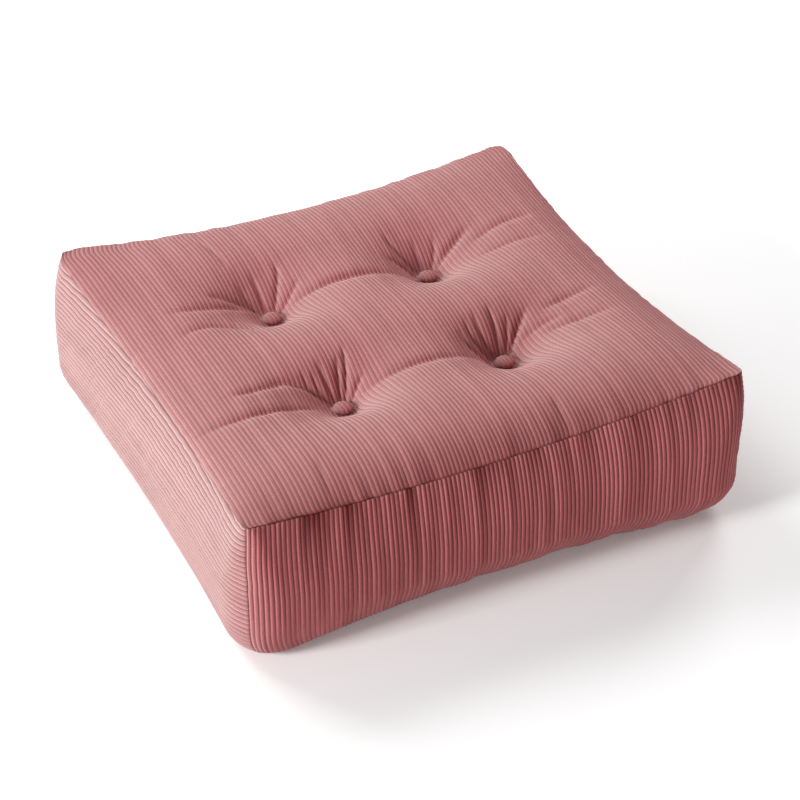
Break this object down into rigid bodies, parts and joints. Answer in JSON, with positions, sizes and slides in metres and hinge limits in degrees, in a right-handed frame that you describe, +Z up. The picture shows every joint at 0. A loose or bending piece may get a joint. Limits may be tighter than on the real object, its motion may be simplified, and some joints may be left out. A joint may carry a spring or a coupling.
{
  "type": "corduroy pouf",
  "caption": "Low square floor pouf in wide-wale corduroy with a crowned top, drawn-in sides and buttons that tuft the seat; a soft seat or footrest.",
  "frame": {"origin": "on the floor, under the middle of the body", "axes": "+X to the right along the front side, +Y from the front to the back, +Z up"},
  "size_m": [0.697, 0.6706, 0.2284],
  "materials": {
    "cover": "dusty rose cotton corduroy, wales 6.3 mm apart, soft short pile",
    "button_cover": "the same dusty rose corduroy, drawn tight over a button"
  },
  "bodies": {
    "root": {"pouf_body": "cover", "button_back_left": "button_cover", "button_back_right": "button_cover", "button_front_left": "button_cover", "button_front_right": "button_cover"}
  },
  "joints": []
}
